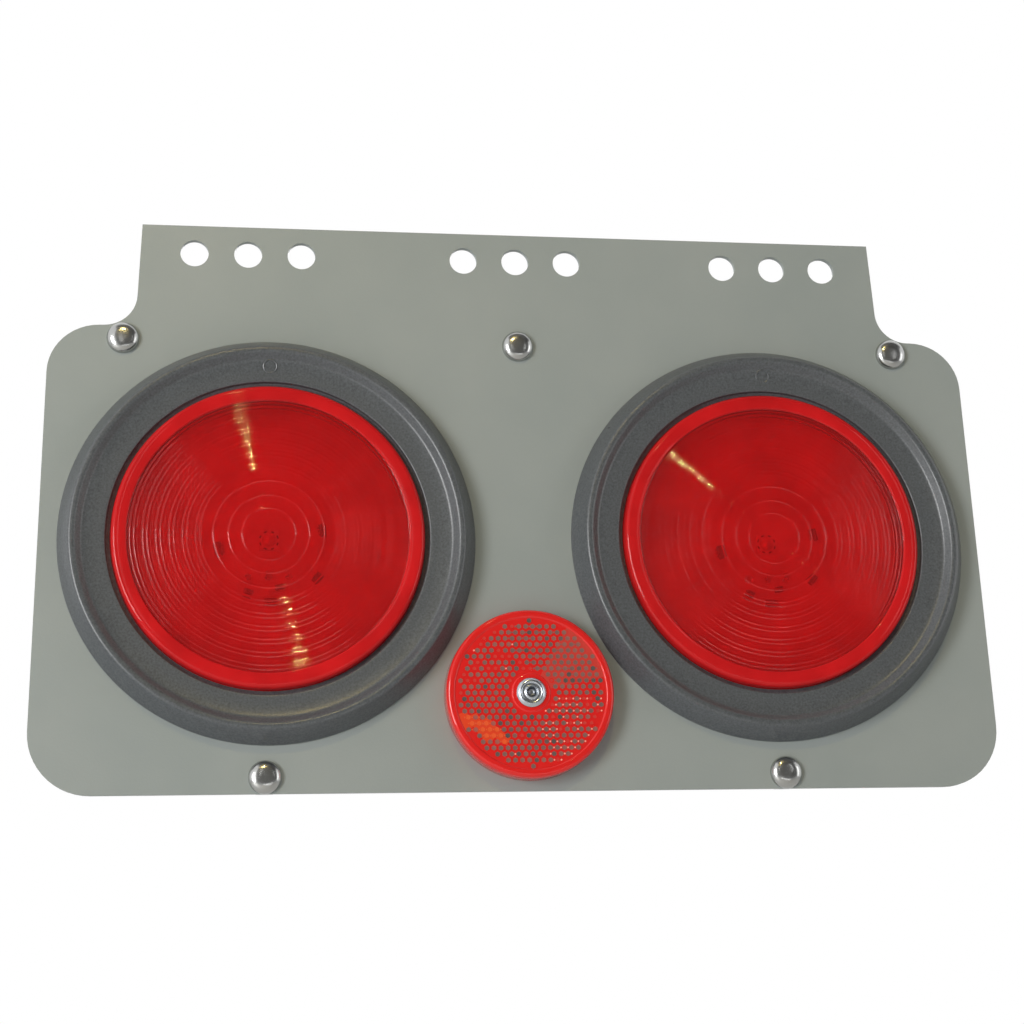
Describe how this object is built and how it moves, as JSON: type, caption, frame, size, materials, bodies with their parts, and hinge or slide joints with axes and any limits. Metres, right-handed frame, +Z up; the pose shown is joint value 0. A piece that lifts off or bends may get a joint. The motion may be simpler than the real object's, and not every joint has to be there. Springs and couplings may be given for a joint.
{
  "type": "trailer light module",
  "caption": "Trailer rear light module: flat steel face plate with a notched bolt-on tab, round red LED lamps in rubber grommets, a centre reflector and a folded steel rear cover.",
  "frame": {"origin": "centre of the tab's middle hole, on the back face of the plate", "axes": "+Z up, +X to the right seen from the front, front of the plate faces -Y, rear cover towards +Y"},
  "size_m": [0.3198, 0.0709, 0.1938],
  "materials": {
    "powder_grey": "satin powder coat, fine orange peel",
    "rubber_black": "satin moulded rubber",
    "lens_red": "clear red moulded plastic, glossy",
    "reflector_red": "clear red moulded plastic with a prism field",
    "zinc_plate": "bright zinc plate",
    "rivet_aluminium": "plain",
    "mandrel_steel": "plain",
    "housing_black": "matte moulded plastic",
    "board_white": "white solder mask",
    "led_clear": "clear silicone dome",
    "part_black": "moulded parts",
    "pin_brass": "plain",
    "back_grey": "matte moulded plastic"
  },
  "bodies": {
    "root": {"face_plate": "powder_grey", "rear_cover": "powder_grey", "cover_bolts": "zinc_plate", "cover_nuts": "zinc_plate", "wire_inlet_grommet": "rubber_black", "left_grommet": "rubber_black", "right_grommet": "rubber_black", "left_lens": "lens_red", "right_lens": "lens_red", "left_lamp_housing": "housing_black", "right_lamp_housing": "housing_black", "left_circuit_board": "board_white", "right_circuit_board": "board_white", "left_led": "led_clear", "right_led": "led_clear", "left_board_parts": "part_black", "right_board_parts": "part_black", "left_contact_pins": "pin_brass", "right_contact_pins": "pin_brass", "reflector_lens": "reflector_red", "reflector_back": "back_grey", "reflector_rivet": "rivet_aluminium", "rivet_mandrel": "mandrel_steel"}
  },
  "joints": []
}
